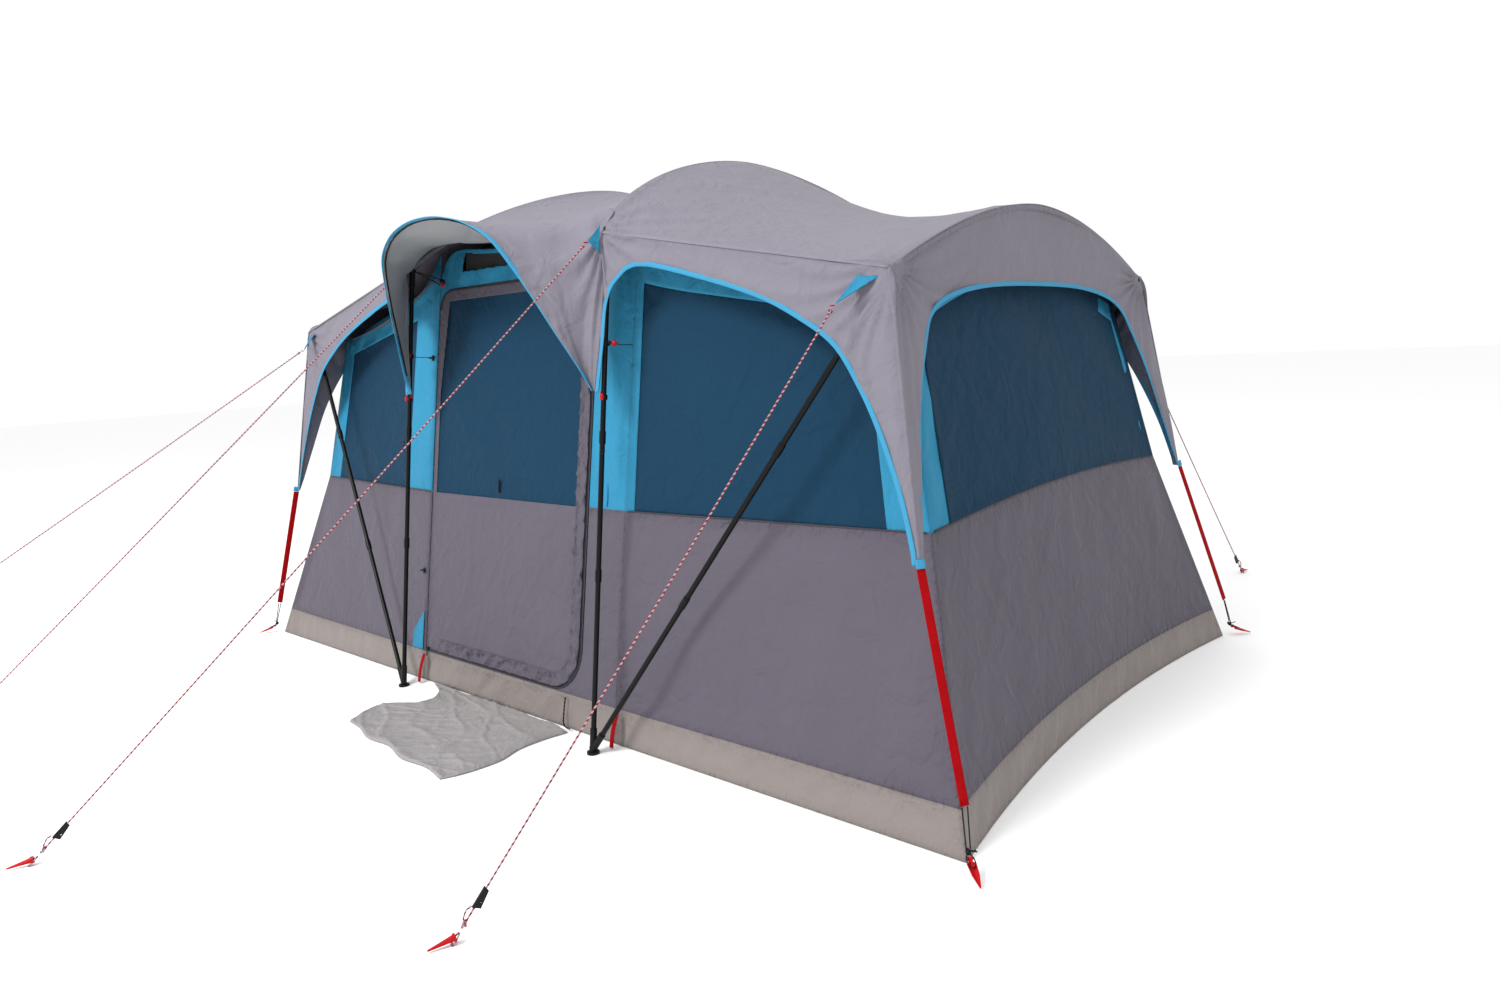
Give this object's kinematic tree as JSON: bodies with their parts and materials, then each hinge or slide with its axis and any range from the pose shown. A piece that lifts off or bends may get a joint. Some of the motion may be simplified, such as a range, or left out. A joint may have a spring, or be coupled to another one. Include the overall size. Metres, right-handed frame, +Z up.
{
  "type": "tunnel tent",
  "caption": "Cabin-style family tunnel tent: hooped pole frame, inner cabin with bathtub floor, windows and door, arched fly sheet with front hood, guy ropes, pegs and door mat.",
  "frame": {"origin": "on the ground under the groundsheet, at its middle", "axes": "+X along the long side of the cabin, the door faces -Y, +Z is up"},
  "size_m": [4.9271, 5.7687, 2.218],
  "materials": {
    "fly_cloth": "woven polyester, light sheen",
    "grey_cloth": "woven polyester, soft",
    "cyan_cloth": "woven polyester",
    "window_mesh": "fine mesh with a film behind it",
    "tub_cloth": "coated polyethylene weave",
    "vent_mesh": "fine mesh",
    "mat_cloth": "coated polyethylene weave, creased",
    "black_tape": "zip tape",
    "black_cord": "sheathed elastic cord",
    "black_steel": "gloss black enamel",
    "black_rod": "satin fibreglass",
    "black_plastic": "moulded",
    "red_plastic": "moulded",
    "red_webbing": "woven webbing",
    "rope": "braided cord"
  },
  "bodies": {
    "tent": {"groundsheet": "tub_cloth", "tub_walls": "tub_cloth", "wall_front_lower": "grey_cloth", "wall_back_lower": "grey_cloth", "wall_left_lower": "grey_cloth", "wall_right_lower": "grey_cloth", "wall_front_upper": "cyan_cloth", "wall_back_upper": "cyan_cloth", "wall_left_upper": "cyan_cloth", "wall_right_upper": "cyan_cloth", "window_front_left": "window_mesh", "window_front_right": "window_mesh", "window_left": "window_mesh", "window_right": "window_mesh", "windows_back": "window_mesh", "roof_vents": "vent_mesh", "inner_roof": "vent_mesh", "tie_back_toggles": "black_plastic", "legs_front": "black_steel", "legs_back": "black_steel", "stays_front": "black_steel", "stays_back": "black_steel", "roof_arcs": "black_rod", "end_arcs": "black_rod", "hood_arch": "black_rod", "middle_hubs": "black_plastic", "corner_hubs": "black_plastic", "pole_feet": "black_plastic", "leg_ferrules": "black_steel", "pole_clips": "black_plastic", "hub_bungees": "black_cord", "fly_middle": "fly_cloth", "fly_left": "fly_cloth", "fly_right": "fly_cloth", "hood_canopy": "fly_cloth", "guy_tabs": "cyan_cloth", "guy_rings": "red_plastic", "corner_straps": "red_webbing", "foot_straps": "red_webbing", "elastic_loops": "black_cord", "corner_pegs": "red_plastic", "rope_pegs": "red_plastic", "rope_front_right": "rope", "rope_hub_right": "rope", "rope_hub_left": "rope", "rope_front_left": "rope", "rope_back_right": "rope", "door_mat": "mat_cloth", "sill_cord": "black_cord"},
    "door": {"door_panel": "grey_cloth", "door_window": "window_mesh", "door_zip_tape": "black_tape", "door_storm_flap": "grey_cloth"},
    "low_slider": {"zip_slider_low": "black_plastic"},
    "side_slider": {"zip_slider_side": "black_plastic"},
    "runner_front_right_body": {"runner_front_right": "black_plastic"},
    "runner_hub_right_body": {"runner_hub_right": "black_plastic"},
    "runner_hub_left_body": {"runner_hub_left": "black_plastic"},
    "runner_front_left_body": {"runner_front_left": "black_plastic"},
    "runner_back_right_body": {"runner_back_right": "black_plastic"}
  },
  "joints": [
    {"name": "door_swing", "type": "hinge", "parent": "tent", "child": "door", "pos_m": [-0.645, -1.177, 0.138], "axis": [0, -0.1628, -0.9867], "range_deg": [0, 50]},
    {"name": "low_slider_slide", "type": "slide", "parent": "door", "child": "low_slider", "axis": [1, 0, 0], "range_m": [0, 0.85]},
    {"name": "side_slider_slide", "type": "slide", "parent": "door", "child": "side_slider", "axis": [0, -0.1628, -0.9867], "range_m": [0, 1.2]},
    {"name": "runner_front_right_slide", "type": "slide", "parent": "tent", "child": "runner_front_right_body", "axis": [0.2062, 0.5925, 0.7787], "range_m": [0, 0.4]},
    {"name": "runner_hub_right_slide", "type": "slide", "parent": "tent", "child": "runner_hub_right_body", "axis": [0.3058, 0.6496, 0.6961], "range_m": [0, 0.4]},
    {"name": "runner_hub_left_slide", "type": "slide", "parent": "tent", "child": "runner_hub_left_body", "axis": [0.3226, 0.6559, 0.6824], "range_m": [0, 0.4]},
    {"name": "runner_front_left_slide", "type": "slide", "parent": "tent", "child": "runner_front_left_body", "axis": [0.3716, 0.7533, 0.5426], "range_m": [0, 0.4]},
    {"name": "runner_back_right_slide", "type": "slide", "parent": "tent", "child": "runner_back_right_body", "axis": [-0.0995, -0.6587, 0.7458], "range_m": [0, 0.4]}
  ]
}
